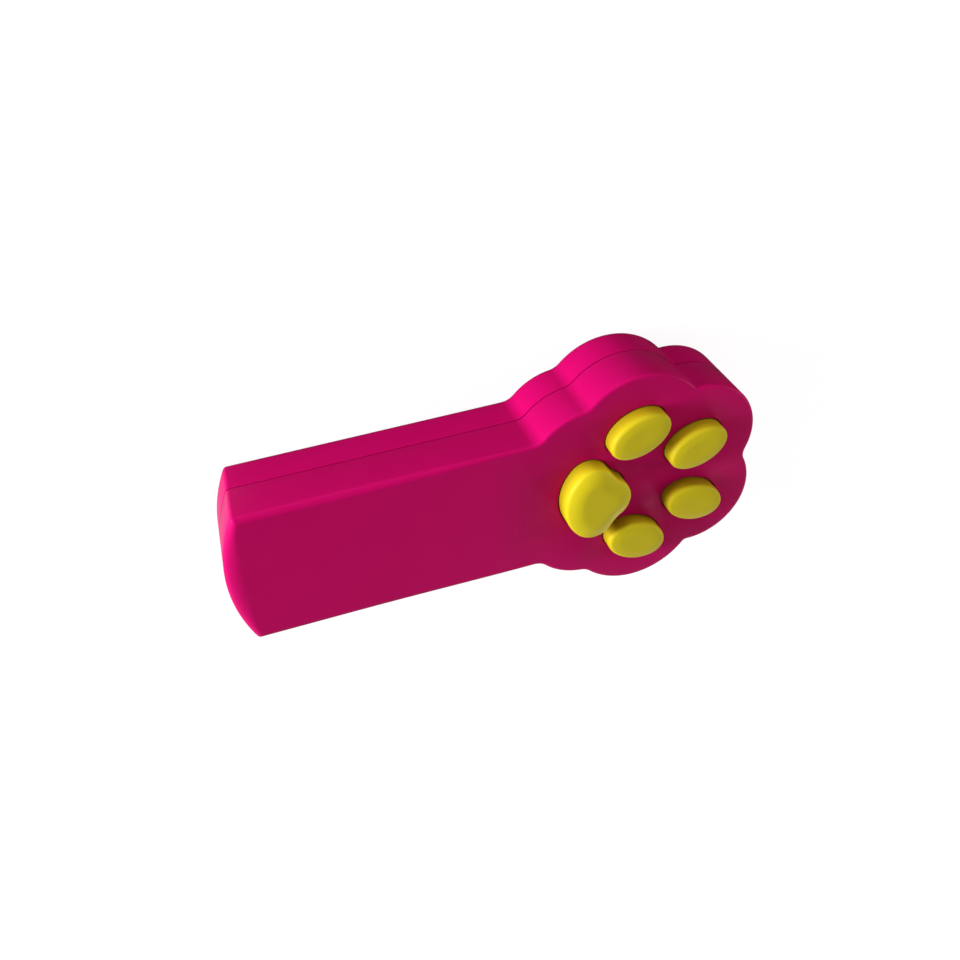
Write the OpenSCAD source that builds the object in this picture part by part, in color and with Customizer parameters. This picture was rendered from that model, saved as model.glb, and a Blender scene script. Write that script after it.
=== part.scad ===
// Hand-held cat laser pointer in the shape of a paw.
// It lies on its back with the keys up. X runs along the handle to the paw,
// Z is up, and the origin is the middle of the box that bounds it, at the back face.

/* [Handle] */
// Length from the end of the handle to the middle of the rear pair of lobes
handle_len = 79.9; // [78:0.1:100]
// Width of the handle
handle_w = 33; // [31:0.5:36]
// Bulge of the end of the handle
end_bulge = 3.8; // [3:0.1:5.5]
// Radius of the two corners at the end of the handle
end_corner_r = 1; // [0.5:0.1:5]
// Lean of the end of the handle, its back being that much shorter than its face
end_lean = 1.4; // [0:0.1:2]

/* [Paw outline] */
// Distance of the rear lobes from the axis
lobe_1_y = 7.3; // [6.5:0.1:8.5]
// Radius of the rear lobes
lobe_1_r = 14.8; // [14:0.1:16]
// Distance of the side lobes ahead of the rear lobes
lobe_2_x = 11.6; // [11:0.1:14]
// Distance of the side lobes from the axis
lobe_2_y = 11.6; // [11:0.1:13]
// Radius of the side lobes
lobe_2_r = 16.1; // [15.5:0.1:18]
// Distance of the front lobes ahead of the rear lobes
lobe_3_x = 25.8; // [25:0.1:29]
// Distance of the front lobes from the axis
lobe_3_y = 7.4; // [7:0.1:8.5]
// Radius of the front lobes
lobe_3_r = 13.9; // [13.4:0.1:15]
// Hollow radius where the handle meets the paw
neck_r = 3.9; // [3:0.1:6]
// Hollow radius between the rear and side lobes
notch_12_r = 4.1; // [3:0.1:6]
// Hollow radius between the side and front lobes
notch_23_r = 3.4; // [2.5:0.1:5]
// Hollow radius between the two front lobes
notch_front_r = 3.7; // [3:0.1:5]

/* [Shells] */
// Thickness of the closed casing
case_t = 20; // [20:0.1:24]
// Height of the parting plane above the back
parting_z = 9.5; // [9.2:0.1:10.5]
// Wall of both shells
wall = 2; // [1.8:0.1:2.4]
// Rounding of the edge of the back
back_edge_r = 2.4; // [1.5:0.1:2.7]
// Rounding of the edge of the face round the paw
paw_edge_r = 0.8; // [0.5:0.1:1.5]
// Rounding of the edge of the face along the handle
handle_edge_r = 1.6; // [1:0.1:2]
// Length over which the face rolls off at the end of the handle
end_run = 6; // [3:0.1:7]
// Size of the small bevels that form the parting groove
groove = 0.25; // [0.1:0.05:0.4]
// Height of the locating lip above the parting plane
lip_h = 1.2; // [0.8:0.1:2]
// Thickness of the locating lip
lip_t = 0.9; // [0.7:0.1:1.1]

/* [Keys] */
// Travel of every key
key_travel = 0.5; // [0.3:0.05:0.6]
// Gap between a key and its hole
key_gap = 0.25; // [0.2:0.05:0.4]
// Width of the flange that keeps a key in
key_flange = 1; // [0.7:0.1:1.3]
// Thickness of that flange
key_flange_t = 1; // [0.8:0.1:1.2]
// Radius of the post under a key
key_post_r = 2; // [1.8:0.1:2.6]
// Height of the palm key above the face
palm_h = 5.1; // [3:0.1:7]
// Edge rounding of the palm key
palm_edge_r = 1.1; // [0.5:0.1:2]
// Rise of the palm key's crowned top from its edge to its middle
palm_crown = 0.9; // [0.1:0.1:1.2]
// Width of the crowned border of the palm key
palm_crown_w = 3.4; // [2:0.1:3.6]
// Place of the palm key's front lobe ahead of the rear lobes of the paw
palm_front_x = 2.9; // [2.6:0.1:4]
// Radius of the palm key's front lobe
palm_front_r = 5.3; // [4.5:0.1:5.6]
// Place of the palm key's rear lobes ahead of the rear lobes of the paw
palm_rear_x = -0.6; // [-1.2:0.1:-0.2]
// Distance of the palm key's rear lobes from the axis
palm_rear_y = 4.2; // [3.8:0.1:4.8]
// Radius of the palm key's rear lobes
palm_rear_r = 5; // [4.8:0.1:5.6]
// Radius of the palm key's rear edge
palm_back_r = 11.2; // [10.5:0.1:14]
// Hollow radius of the palm key's flanks
palm_flank_r = 8.7; // [6:0.1:10]
// Height of the toe keys above the face
toe_h = 3.8; // [3:0.1:6]
// Edge rounding of the toe keys
toe_edge_r = 1; // [0.5:0.1:2]
// Rise of the toe keys' crowned tops
toe_crown = 0.5; // [0.1:0.1:0.8]
// Width of the crowned border of the toe keys
toe_crown_w = 2.2; // [1.5:0.1:2.3]
// Half length of the outer toe keys
toe_outer_a = 7.2; // [6.5:0.1:7.8]
// Half width of the outer toe keys
toe_outer_b = 4.9; // [4.6:0.1:5.6]
// Turn of the outer toe keys
toe_outer_turn = 22; // [15:1:32]
// Half length of the inner toe keys
toe_inner_a = 7; // [6.5:0.1:7.4]
// Half width of the inner toe keys
toe_inner_b = 4.7; // [4.4:0.1:5.4]
// Turn of the inner toe keys
toe_inner_turn = 19; // [12:1:26]

/* [Board and switches] */
// Thickness of the circuit board
board_t = 1.6; // [1:0.1:1.6]
// Gap between the board and the shell wall
board_gap = 0.8; // [0.5:0.1:1.2]
// Width and length of a switch housing
switch_w = 6; // [5.5:0.1:6.2]
// Height of a switch housing
switch_h = 3.5; // [3.2:0.1:4]
// Radius of a switch plunger
plunger_r = 1.7; // [1.3:0.1:1.9]
// Height of a plunger above its housing
plunger_h = 1.5; // [1.2:0.1:1.8]
// Radius of a board screw's shank
board_screw_r = 0.9; // [0.8:0.05:1]
// Depth of a board screw in its post
board_screw_grip = 4; // [3:0.1:4.5]

/* [Battery bay] */
// Length of a cell over its cap
cell_len = 44.5; // [42:0.1:45]
// Radius of a cell
cell_r = 5.25; // [5:0.05:5.3]
// Distance of the cells from the axis
cell_y = 6.2; // [5.8:0.1:6.4]
// Radius of a cell's cap
cap_r = 1.9; // [1.6:0.1:2.2]
// Length of a cell's cap
cap_len = 1.2; // [1:0.1:1.5]
// Length of a contact spring in place
spring_len = 4.5; // [4:0.1:5]
// Mean radius of a contact spring
spring_r = 2.6; // [2:0.1:3]
// Radius of the spring wire
spring_wire_r = 0.3; // [0.2:0.05:0.35]
// Turns of a contact spring
spring_turns = 3.5; // [2.5:0.5:3.5]
// Thickness of the contact plates
plate_t = 0.4; // [0.3:0.05:0.5]
// Thickness of the battery door
door_t = 1.6; // [1.5:0.1:2]
// Depth of the door below the back face
door_sink = 0.2; // [0.1:0.05:0.4]
// Gap round the battery door
door_gap = 0.25; // [0.15:0.05:0.4]
// Radius of the door's front corners
door_corner_r = 2; // [1:0.1:4]

/* [Laser] */
// Radius of the laser barrel
barrel_r = 3; // [2.8:0.1:3.2]
// Length of the laser barrel
barrel_len = 14; // [12:0.1:15]
// Wall of the laser barrel
barrel_wall = 0.5; // [0.4:0.05:0.6]
// Radius of the opening in the front wall
aperture_r = 2; // [1.5:0.1:2.4]
// Thickness of the clear window
window_t = 1; // [0.8:0.1:1.2]
// Thickness of the collimating lens
lens_t = 2; // [1.5:0.1:2.4]

/* [Screws and wires] */
// Radius of a shell screw's shank
screw_r = 1.1; // [1:0.05:1.2]
// Radius of a shell screw's head
screw_head_r = 1.9; // [1.8:0.05:2.1]
// Height of a screw head
screw_head_h = 1.2; // [0.9:0.1:1.5]
// Radius of the insulated wires
wire_r = 0.45; // [0.35:0.05:0.5]
// Rise of a wire between its two joints
lead_rise = 2.2; // [1.5:0.1:3]
// Distance of a wire's joint from the edge of the board
lead_inset = 2; // [1.5:0.1:3]

/* [Hidden] */
// Largest angle between two points of an outline
arc_step = 9;
// Steps of a rounded edge, of the end of the handle and of its corners
edge_steps = 4;
end_steps = 5;
corner_steps = 5;
// Points round a toe key
oval_points = 44;
$fn = 48;

// Small gap between flat faces that meet, and overlap used by cuts
seat_gap = 0.1;
slip = 0.05;
eps = 0.5;

pink = "#d8127a";
lime = "#d9d52c";
steel = "#c8cacc";
brass = "#c9a54a";
black = "#202224";
green = "#1f6a3c";

// Outline of the casing: circles joined by tangent hollows

function heading(a, b) = atan2(b.y - a.y, b.x - a.x);
function without_first(v) = [for (i = [1 : len(v) - 1]) v[i]];
function arc(c, r, a0, a1, steps = 0) =
  let (n = steps > 0 ? steps : max(2, ceil(abs(a1 - a0) / arc_step)))
  [for (i = [0 : n]) let (a = a0 + (a1 - a0) * i / n) c + r * [cos(a), sin(a)]];

// Centre of a circle of radius r that touches circles a and b from outside, left of the way from a to b
function hollow(a, ra, b, rb, r) =
  let (d = norm(b - a), u = (b - a) / d, p = ra + r, q = rb + r)
  let (along = (p * p - q * q + d * d) / (2 * d), aside = sqrt(p * p - along * along))
  a + along * u + aside * [-u.y, u.x];

total_len = handle_len + lobe_3_x + lobe_3_r;
tail_x = -total_len / 2;
paw_x = tail_x + handle_len;
half_w = handle_w / 2;

lobe_1 = [paw_x, lobe_1_y];
lobe_2 = [paw_x + lobe_2_x, lobe_2_y];
lobe_3 = [paw_x + lobe_3_x, lobe_3_y];
end_r = (half_w * half_w + end_bulge * end_bulge) / (2 * end_bulge);
end_c = [tail_x + end_lean + end_r, 0];
neck_y = half_w + neck_r;
neck_c = [paw_x - sqrt(pow(lobe_1_r + neck_r, 2) - pow(neck_y - lobe_1_y, 2)), neck_y];
notch_12 = hollow(lobe_1, lobe_1_r, lobe_2, lobe_2_r, notch_12_r);
notch_23 = hollow(lobe_2, lobe_2_r, lobe_3, lobe_3_r, notch_23_r);
front_c = [lobe_3.x + sqrt(pow(lobe_3_r + notch_front_r, 2) - lobe_3_y * lobe_3_y), 0];
front_x = front_c.x - notch_front_r;

// Radius and middle of the corner at the end of the handle when the outline is set in by d
least_r = 0.3;
function corner_r(d) = max(end_corner_r - d, least_r);
function corner_c(d) = let (r = corner_r(d), y = half_w - d - r)
  [end_c.x - sqrt(pow(end_r - d - r, 2) - y * y), y];

// Half of the outline at the back on the +Y side, set in by d, from the end of the handle to the front notch
function half_outline(d) = let (corner = corner_c(d), turn = heading(end_c, corner)) concat(
  arc(end_c, end_r - d, 180, turn, end_steps),
  without_first(arc(corner, corner_r(d), turn, 90, corner_steps)),
  arc(neck_c, neck_r + d, -90, heading(neck_c, lobe_1)),
  without_first(arc(lobe_1, lobe_1_r - d, heading(lobe_1, neck_c), heading(lobe_1, notch_12))),
  without_first(arc(notch_12, notch_12_r + d, heading(notch_12, lobe_1), heading(notch_12, lobe_2))),
  without_first(arc(lobe_2, lobe_2_r - d, heading(lobe_2, notch_12), heading(lobe_2, notch_23))),
  without_first(arc(notch_23, notch_23_r + d, heading(notch_23, lobe_2), heading(notch_23, lobe_3))),
  without_first(arc(lobe_3, lobe_3_r - d, heading(lobe_3, notch_23), heading(lobe_3, front_c))),
  without_first(arc(front_c, notch_front_r + d, heading(front_c, lobe_3), 180)));

// A half outline from axis to axis, closed by its mirror image, anticlockwise seen from above
function closed(half) = concat(
  [for (p = half) [p.x, -p.y]],
  [for (i = [len(half) - 2 : -1 : 1]) half[i]]);
function outline(d) = closed(half_outline(d));

// Lofted solids: rings of equal length, each a list of points in space, from the bottom cap to the top cap

module skin(rings) {
  n = len(rings[0]);
  last = len(rings) - 1;
  points = [for (r = rings, p = r) p];
  sides = [for (k = [0 : last - 1], i = [0 : n - 1]) let (j = (i + 1) % n)
    each [[k * n + i, k * n + n + i, k * n + n + j], [k * n + i, k * n + n + j, k * n + j]]];
  bottom = [for (i = [0 : n - 1]) i];
  top = [for (i = [n - 1 : -1 : 0]) last * n + i];
  polyhedron(points, concat([bottom], sides, [top]), convexity = 10);
}
// The same with level rings, each [points, height]
module loft(rings) {
  skin([for (r = rings) [for (p = r[0]) [p.x, p.y, r[1]]]]);
}

// A tube along a path of points, with rings square to the path; the path never runs along guide
module tube(path, r, guide, sides = 6) {
  last = len(path) - 1;
  way = [for (i = [0 : last])
    let (d = path[min(i + 1, last)] - path[max(i - 1, 0)]) d / norm(d)];
  rings = [for (i = [0 : last])
    let (u = cross(guide, way[i]), p = u / norm(u), q = cross(way[i], p))
    [for (k = [0 : sides - 1]) let (a = 360 * k / sides) path[i] + r * (cos(a) * p + sin(a) * q)]];
  points = [for (ring = rings, p = ring) p];
  skin = [for (k = [0 : last - 1], i = [0 : sides - 1]) let (j = (i + 1) % sides)
    each [[k * sides + i, (k + 1) * sides + i, (k + 1) * sides + j],
          [k * sides + i, (k + 1) * sides + j, k * sides + j]]];
  near = [for (i = [0 : sides - 1]) i];
  far = [for (i = [sides - 1 : -1 : 0]) last * sides + i];
  polyhedron(points, concat([near], skin, [far]), convexity = 10);
}

// Heights and places of the inner pieces

face_in = case_t - wall;
board_top = parting_z + 1;
board_z = board_top - board_t;
post_z = board_top + switch_h + plunger_h;
flange_top = face_in - seat_gap;
flange_z = flange_top - key_flange_t;

lip_in = wall - lip_t;
door_top = door_sink + door_t;
ledge_z = door_top + seat_gap;
ledge_t = 1.4;
ledge_top = ledge_z + ledge_t;
door_margin = 0.6;
door_inset = back_edge_r + door_margin;
cell_clear = 0.35;
cell_z = door_top + cell_clear + cell_r;
bay_lip = 0.8;
bay_rib = 1;
plate_half = cell_r - 0.75;
plate_top = cell_z + plate_half;
bay_half = cell_y + cell_r + cell_clear;
inner_half = half_w - wall;

boss_r = 2.2;
boss_wall = 1.1;
head_gap = 0.3;
head_seat = 3;
well_margin = 0.8;
door_boss_r = boss_r + 0.4;
tail_boss_x = tail_x + end_lean + door_inset + screw_head_r + well_margin;
bay_x0 = tail_boss_x + door_boss_r + head_gap + plate_t;
bay_x1 = bay_x0 + cell_len + spring_len;
door_screw_x = [tail_boss_x, bay_x1 + boss_r + 2.6];
door_x1 = door_screw_x[1] + door_boss_r;
neck_boss = [door_x1 + boss_r + boss_wall + 0.5, inner_half - boss_r - 0.8];
front_boss = [lobe_3.x + 8.5, lobe_3.y - 1.8];
shell_bosses = [for (p = [neck_boss, front_boss], side = [1, -1]) [p.x, side * p.y]];
board_x = [neck_boss.x + boss_r + boss_wall, lobe_3.x + 4.4];
// The rear posts stay at least this far inside the rear edge of the board
post_margin = 2.4;
rear_post = [max(lobe_1.x - 3.3, board_x[0] + post_margin), lobe_1.y + 7.7];
side_post = lobe_2 + [8.1, 5.4];
board_posts = [for (p = [rear_post, side_post], side = [1, -1]) [p.x, side * p.y]];

window_r = aperture_r + 1.1;
window_seat = 1.2;
seat_r = window_r + boss_wall;
window_x = front_x - window_seat - window_t;
barrel_x1 = window_x - seat_gap;
barrel_x0 = barrel_x1 - barrel_len;
saddle_t = 2;
saddle_half = barrel_r + 1.2;
saddle_x = [barrel_x0 + 0.25 * barrel_len, barrel_x0 + 0.75 * barrel_len];
slot_half = saddle_half + head_gap;
driver_len = 4.5;
slot_x = barrel_x0 - driver_len - 1.5;

// Middle, turn and half axes of each toe key, +Y outer one first
toe_outer = lobe_2 + [-1.2, 2.8];
toe_inner = lobe_3 + [-1.3, 0.2];
toe_place = [[toe_outer.x, toe_outer.y], [toe_inner.x, toe_inner.y],
  [toe_inner.x, -toe_inner.y], [toe_outer.x, -toe_outer.y]];
toe_turn = [toe_outer_turn, toe_inner_turn, -toe_inner_turn, -toe_outer_turn];
toe_axes = [[toe_outer_a, toe_outer_b], [toe_inner_a, toe_inner_b],
  [toe_inner_a, toe_inner_b], [toe_outer_a, toe_outer_b]];

// Half of the room left on the axis between the flanges of the two inner toe keys, less a clearance
toe_inner_reach = norm([toe_inner_a * sin(toe_inner_turn), toe_inner_b * cos(toe_inner_turn)]);
web_half = toe_inner.y - toe_inner_reach - key_flange - head_gap;

palm_front = [paw_x + palm_front_x, 0];
palm_rear = [paw_x + palm_rear_x, palm_rear_y];
palm_flank = hollow(palm_rear, palm_rear_r, palm_front, palm_front_r, palm_flank_r);
palm_back = [palm_rear.x + sqrt(pow(palm_back_r - palm_rear_r, 2) - palm_rear_y * palm_rear_y), 0];
palm_middle = [(palm_front.x + palm_front_r + palm_back.x - palm_back_r) / 2, 0];

// Small building blocks

// A cylinder along X from x0 to x1
module rod(x0, x1, r, y = 0, z = parting_z) {
  translate([x0, y, z]) rotate([0, 90, 0]) cylinder(h = x1 - x0, r = r);
}
// A block between two corners
module block(low, high) {
  translate(low) cube(high - low);
}
// A block centred on the axis, of half width hw
module bar(x0, x1, hw, z0, z1) {
  block([x0, -hw, z0], [x1, hw, z1]);
}
module disc(p, z0, z1, r) {
  translate([p.x, p.y, z0]) cylinder(h = z1 - z0, r = r);
}
// A solid of revolution about the laser's axis, profile given as [along X, radius]
module turned(profile) {
  translate([0, 0, parting_z]) rotate([0, 90, 0]) rotate_extrude() polygon([for (p = profile) [p[1], p[0]]]);
}

// Keys

function oval(a, b, d) = [for (i = [0 : oval_points - 1])
  let (t = 360 * i / oval_points, q = norm([b * cos(t), a * sin(t)]))
  [(a + d * b / q) * cos(t), (b + d * a / q) * sin(t)]];

// Palm outline set out by d, from its tip round to the middle of its rear edge
function palm_half(d) = concat(
  arc(palm_front, palm_front_r + d, 0, heading(palm_front, palm_flank)),
  without_first(arc(palm_flank, palm_flank_r - d, heading(palm_flank, palm_front),
    heading(palm_flank, palm_rear))),
  without_first(arc(palm_rear, palm_rear_r + d, heading(palm_rear, palm_flank),
    heading(palm_back, palm_rear))),
  without_first(arc(palm_back, palm_back_r + d, heading(palm_back, palm_rear), 180)));
// The half runs anticlockwise, so it is turned round before it is closed
function palm(d) = let (h = palm_half(d), n = len(h) - 1) closed([for (i = [0 : n]) h[n - i]]);

// Setting out and height of the rings of a key: flange, skirt, rounded edge and crowned top.
// The edge turns as far as the slope at which the crown begins.
function key_levels(h, r, crown, w) =
  let (turn = 90 - atan(2 * crown / w), shoulder = case_t + h - crown) concat(
  [[key_flange, flange_z], [key_flange, flange_top], [0, flange_top]],
  [for (i = [0 : edge_steps]) let (a = turn * i / edge_steps)
    [r * (cos(a) - 1), shoulder + r * (sin(a) - sin(turn))]],
  [for (i = [1 : edge_steps]) let (t = i / edge_steps)
    [r * (cos(turn) - 1) - w * t, shoulder + crown * t * (2 - t)]]);

module key_post(p) {
  disc(p, post_z, flange_z + key_flange_t / 2, key_post_r);
}
module palm_key() {
  color(lime) {
    loft([for (l = key_levels(palm_h, palm_edge_r, palm_crown, palm_crown_w)) [palm(l[0]), l[1]]]);
    key_post(palm_middle);
  }
}
module toe_key(i) {
  color(lime) {
    translate(toe_place[i]) rotate(toe_turn[i])
      loft([for (l = key_levels(toe_h, toe_edge_r, toe_crown, toe_crown_w))
        [oval(toe_axes[i][0], toe_axes[i][1], l[0]), l[1]]]);
    key_post(toe_place[i]);
  }
}
// The clearance holes for the keys in the face
module key_holes() {
  z0 = face_in - eps;
  z1 = case_t + eps;
  loft([for (z = [z0, z1]) [palm(key_gap), z]]);
  for (i = [0 : len(toe_place) - 1])
    translate(toe_place[i]) rotate(toe_turn[i])
      loft([for (z = [z0, z1]) [oval(toe_axes[i][0], toe_axes[i][1], key_gap), z]]);
}

// Casing

// Rings of the casing: every point of the outline moves inwards square to it, and the end leans outwards

outer = outline(0);
corner_x = corner_c(0).x;
function smooth(t) = let (u = min(1, max(0, t))) u * u * (3 - 2 * u);
function lean(x, z) = x > corner_x + slip ? 0 : end_lean * min(1, z / (case_t - handle_edge_r));
function raised(p, i, z) = [p.x - lean(outer[i].x, z), p.y, z];
function flat_ring(d, z) = let (ring = outline(d)) [for (i = [0 : len(ring) - 1]) raised(ring[i], i, z)];
// The face's edge is crisp round the paw, softer along the handle, and rolls off long at the end
function face_ring(step) = let (a = 90 * step / edge_steps)
  [for (i = [0 : len(outer) - 1])
    let (x = outer[i].x, soft = smooth(2 * (neck_c.x - x) / handle_len))
    let (r = paw_edge_r + (handle_edge_r - paw_edge_r) * soft)
    let (roll = pow(smooth((corner_x - x) / (corner_x - outer[0].x)), 2))
    let (run = r + (end_run - handle_edge_r) * roll)
    raised(outline(run * (1 - cos(a)))[i], i, case_t - r * (1 - sin(a)))];
function back_ring(step) = let (a = 90 * step / edge_steps)
  flat_ring(back_edge_r * (1 - cos(a)), back_edge_r * (1 - sin(a)));
// A ring past ring b on the way from ring a, so that a plane cut makes the flat end
function beyond(a, b) = a + 1.5 * (b - a);

// Outer form of a shell between two heights. Its rings run past both, where two planes cut it off.
module casing(rings, z0, z1) {
  intersection() {
    skin(rings);
    bar(tail_x - 1, -tail_x + 1, 2 * lobe_2_r, z0, z1);
  }
}
// A prism on the outline set in by d
module prism(d, z0, z1) {
  translate([0, 0, z0]) linear_extrude(z1 - z0) polygon(outline(d));
}

// Front half of the casing: rounded shell with key holes, screw bosses, cell ribs and laser saddles
module front_shell() {
  rib_t = 1.5;
  rib_inset = 10;
  rib_half = inner_half - 0.4;
  bevel = flat_ring(0, parting_z + groove);
  rings = concat([beyond(bevel, flat_ring(groove, parting_z)), bevel],
    [for (step = [0 : edge_steps - 1]) face_ring(step)],
    [beyond(face_ring(edge_steps - 1), face_ring(edge_steps))]);
  color(pink) difference() {
    union() {
      difference() {
        casing(rings, parting_z, case_t);
        prism(wall, parting_z - eps, face_in);
        prism(lip_in - seat_gap, parting_z - eps, parting_z + lip_h + 2 * seat_gap);
      }
      for (p = shell_bosses) disc(p, parting_z + slip, face_in + eps, boss_r);
      for (x = [bay_x0 + rib_inset, (bay_x0 + bay_x1) / 2, bay_x1 - rib_inset])
        bar(x - rib_t / 2, x + rib_t / 2, rib_half, parting_z + eps, face_in + eps);
      for (x = saddle_x) {
        bar(x - saddle_t / 2, x + saddle_t / 2, saddle_half, parting_z + slip, flange_z - 3 * key_travel);
        bar(x - saddle_t / 2, x + saddle_t / 2, web_half, parting_z + slip, face_in + eps);
      }
      intersection() {
        rod(window_x - eps, front_x - window_seat / 2, seat_r);
        bar(window_x - 1, front_x, seat_r + 1, parting_z + slip, face_in);
      }
    }
    key_holes();
    for (p = shell_bosses) disc(p, parting_z - eps, face_in - wall, screw_r + slip);
    for (side = [1, -1])
      rod(bay_x0, bay_x1, cell_r + cell_clear, side * cell_y, cell_z);
    laser_way();
  }
}

// The room for the laser barrel, its window and its beam
module laser_way() {
  rod(barrel_x0 - driver_len, window_x, barrel_r + slip);
  rod(window_x - eps - slip, window_x + window_t + slip, window_r + slip);
  rod(window_x, front_x + 1, aperture_r);
}

// Plan of the battery door set out by a gap: curved like the handle's end, square ahead of the front screw
door_tail_r = 2;
module door_plan(gap) {
  hw = half_w - door_inset;
  bow_r = end_r - door_inset;
  tail_y = hw - door_tail_r;
  tail_c = [end_c.x - sqrt(pow(bow_r - door_tail_r, 2) - tail_y * tail_y), tail_y];
  front_corner = [door_x1 - door_corner_r, hw - door_corner_r];
  turn = heading(end_c, tail_c);
  polygon(closed(concat(
    arc(end_c, bow_r + gap, 180, turn),
    without_first(arc(tail_c, door_tail_r + gap, turn, 90)),
    arc(front_corner, door_corner_r + gap, 90, 0),
    [[door_x1 + gap, 0]])));
}

// Rear half of the casing: rounded shell with the locating lip, battery bay, board posts and saddles
module rear_shell() {
  bevel = flat_ring(0, parting_z - groove);
  rings = concat([beyond(back_ring(edge_steps - 1), back_ring(edge_steps))],
    [for (step = [edge_steps - 1 : -1 : 0]) back_ring(step)],
    [bevel, beyond(bevel, flat_ring(groove, parting_z))]);
  color(pink) difference() {
    union() {
      difference() {
        union() {
          casing(rings, 0, parting_z);
          prism(lip_in, parting_z - wall, parting_z + lip_h);
        }
        prism(wall, wall, parting_z + lip_h + eps);
      }
      translate([0, 0, wall / 2]) linear_extrude(ledge_top - wall / 2) intersection() {
        polygon(outline(wall - eps));
        translate([tail_x, -handle_w]) square([door_x1 + wall - tail_x, 2 * handle_w]);
      }
      bay_walls();
      for (x = door_screw_x) disc([x, 0], ledge_z, parting_z - 1, door_boss_r);
      for (p = shell_bosses) {
        disc(p, wall / 2, head_seat + boss_wall, screw_head_r + head_gap + boss_wall);
        disc(p, wall / 2, parting_z - slip, boss_r);
      }
      for (p = board_posts) disc(p, wall / 2, board_z, boss_r);
      for (x = saddle_x)
        bar(x - saddle_t / 2, x + saddle_t / 2, saddle_half, wall / 2, parting_z - slip);
      intersection() {
        rod(window_x - eps, front_x - window_seat / 2, seat_r);
        bar(window_x - 1, front_x, seat_r + 1, wall, parting_z - slip);
      }
    }
    translate([0, 0, -eps]) linear_extrude(ledge_z + eps) door_plan(door_gap);
    bar(bay_x0 + bay_lip, bay_x1 - bay_lip, bay_half, -eps, ledge_top + eps);
    for (x = door_screw_x) disc([x, 0], -eps, parting_z, screw_r + head_gap);
    for (p = shell_bosses) {
      disc(p, -eps, head_seat, screw_head_r + head_gap);
      disc(p, -eps, parting_z + eps, screw_r + 3 * slip);
    }
    for (p = board_posts) disc(p, board_z - board_screw_grip - 1, board_z + eps, board_screw_r + slip);
    laser_way();
    bar(window_x - 1, front_x + 1, seat_r + head_gap, parting_z, parting_z + lip_h + eps);
  }
}

// The two cross walls of the battery bay, each slotted for its contact plates
module bay_walls() {
  slot = plate_t + 2 * slip;
  tall = plate_top + seat_gap;
  for (end = [[bay_x0, -1], [bay_x1, 1]]) {
    face = end[0];
    out = end[1];
    xs = [face - out * bay_lip, face + out * (slot + bay_rib)];
    lips = [face - out * (bay_lip + eps), face];
    grip = [face - out * slip, face + out * (slot - slip)];
    difference() {
      union() {
        bar(min(xs), max(xs), inner_half + eps, wall / 2, parting_z - groove);
        bar(min(xs), max(xs), inner_half - 2 * seat_gap, wall / 2, tall);
      }
      bar(min(grip), max(grip), cell_y + plate_half + seat_gap, ledge_top, tall + eps);
      for (side = [1, -1])
        block([min(lips), side * cell_y - plate_half + eps, cell_z - plate_half + eps],
          [max(lips), side * cell_y + plate_half - eps, tall + eps]);
    }
  }
}

module battery_door() {
  head_deep = door_t - 0.7;
  color(pink) difference() {
    translate([0, 0, door_sink]) linear_extrude(door_t) door_plan(0);
    for (x = door_screw_x) {
      disc([x, 0], -eps, door_sink + head_deep, screw_head_r + 3 * slip);
      disc([x, 0], -eps, door_top + eps, screw_r + slip);
    }
  }
}

// Pan-head screw with a cross recess, head down, the underside of its head at height z
module screw(p, z, tip, head_h, head_r, shank_r) {
  arm = 0.6 * head_r;
  difference() {
    union() {
      disc(p, z - head_h, z, head_r);
      disc(p, z - head_h / 2, tip, shank_r);
    }
    for (turn = [0, 90])
      translate([p.x, p.y, z - head_h]) rotate(turn) block([-arm, -0.25, -eps], [arm, 0.25, head_h / 2]);
  }
}
module door_screws() {
  head_h = door_t - 0.8;
  color(steel) for (x = door_screw_x)
    screw([x, 0], door_top - 0.7, parting_z - 1.5, head_h, screw_head_r, screw_r);
}
module shell_screws() {
  color(steel) for (p = shell_bosses)
    screw(p, head_seat, face_in - wall - 1, screw_head_h, screw_head_r, screw_r);
}

// Circuit board with its switches

module circuit_board() {
  color(green) translate([0, 0, board_z]) linear_extrude(board_t) difference() {
    intersection() {
      polygon(outline(wall + board_gap));
      translate([board_x[0], -2 * lobe_2_r]) square([board_x[1] - board_x[0], 4 * lobe_2_r]);
    }
    translate([slot_x, -slot_half]) square([board_x[1] - slot_x + eps, 2 * slot_half]);
    for (p = board_posts) translate(p) circle(board_screw_r + 3 * slip);
  }
}
// Board screws stand head up
module board_screws() {
  color(steel) for (p = board_posts)
    translate([0, 0, 2 * board_top]) mirror([0, 0, 1])
      screw(p, board_top, board_top + board_t + board_screw_grip, screw_head_h, screw_head_r, board_screw_r);
}

plunger_deep = 1.2;
plunger_gap = 0.15;
module switch(p) {
  hole_z = board_top + switch_h - plunger_deep - key_travel - 2 * plunger_gap;
  color(black) difference() {
    block([p.x - switch_w / 2, p.y - switch_w / 2, board_top],
      [p.x + switch_w / 2, p.y + switch_w / 2, board_top + switch_h]);
    disc(p, hole_z, board_top + switch_h + eps, plunger_r + plunger_gap);
  }
}
module plunger(p) {
  color(black) disc(p, board_top + switch_h - plunger_deep, post_z, plunger_r);
}

// Power: two cells side by side in series, held between spring and plate contacts

module cell(side, cap_x, out) {
  body = [cap_x - out * cap_len, cap_x - out * cell_len];
  cap = [cap_x, cap_x - out * (cap_len + eps)];
  color(black) {
    rod(min(body), max(body), cell_r, side * cell_y, cell_z);
    rod(min(cap), max(cap), cap_r, side * cell_y, cell_z);
  }
}
module cell_left() {
  cell(1, bay_x0, -1);
}
module cell_right() {
  cell(-1, bay_x1, 1);
}

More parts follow.
